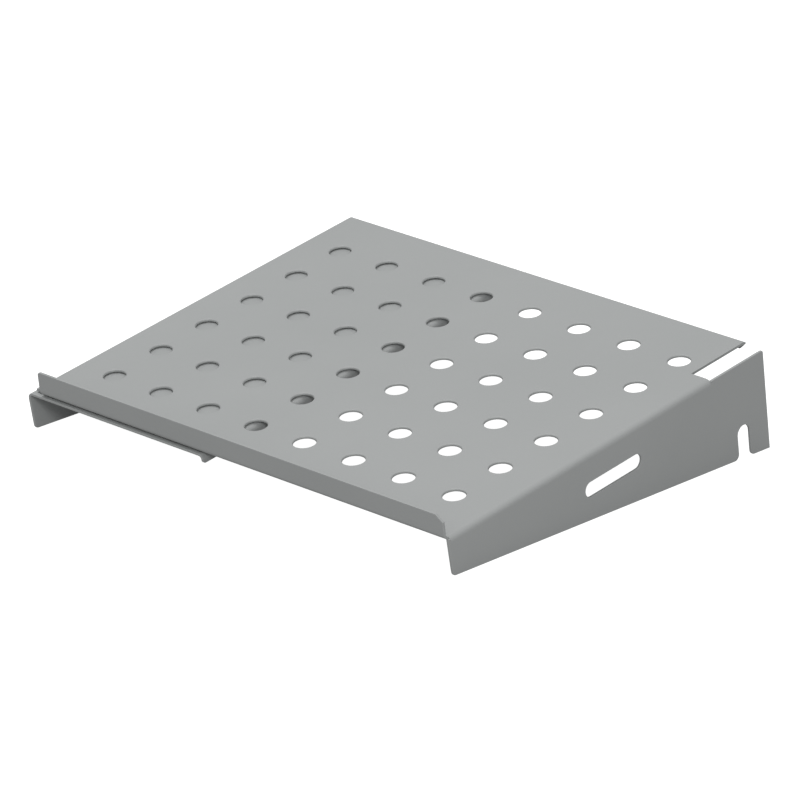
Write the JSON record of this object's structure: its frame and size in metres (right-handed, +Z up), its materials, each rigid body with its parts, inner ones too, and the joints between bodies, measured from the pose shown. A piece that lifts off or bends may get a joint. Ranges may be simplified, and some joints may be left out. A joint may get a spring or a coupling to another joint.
{
  "type": "hook-on perforated shelf",
  "caption": "Width-adjustable perforated sheet-steel shelf: two overlapping trays, upturned front lip, tapered side flanges with downward hook slots and long side slots.",
  "frame": {"origin": "centre of the footprint, on the plane of the side flanges' lower edges", "axes": "+X to the right along the width, +Y from the lip to the hooks, +Z up with the shelf standing on its side flanges, so the deck slopes down to the lip by 8.5 degrees and its left side, which rests on the lower tray, stands 3 mm higher"},
  "size_m": [0.4326, 0.3628, 0.0856],
  "materials": {
    "painted_steel": "satin grey powder coat",
    "zinc_steel": "bright zinc plate"
  },
  "bodies": {
    "upper_body": {"upper_tray": "painted_steel", "clamp_stud_1": "zinc_steel", "clamp_washer_1": "zinc_steel", "spring_washer_1": "zinc_steel", "clamp_nut_1": "zinc_steel", "clamp_stud_2": "zinc_steel", "clamp_washer_2": "zinc_steel", "spring_washer_2": "zinc_steel", "clamp_nut_2": "zinc_steel", "clamp_stud_3": "zinc_steel", "clamp_washer_3": "zinc_steel", "spring_washer_3": "zinc_steel", "clamp_nut_3": "zinc_steel", "clamp_stud_4": "zinc_steel", "clamp_washer_4": "zinc_steel", "spring_washer_4": "zinc_steel", "clamp_nut_4": "zinc_steel"},
    "lower_body": {"lower_tray": "painted_steel"}
  },
  "joints": [
    {"name": "width_slide", "type": "slide", "parent": "upper_body", "child": "lower_body", "axis": [-1, 0, 0.0069], "range_m": [0, 0.08]}
  ]
}
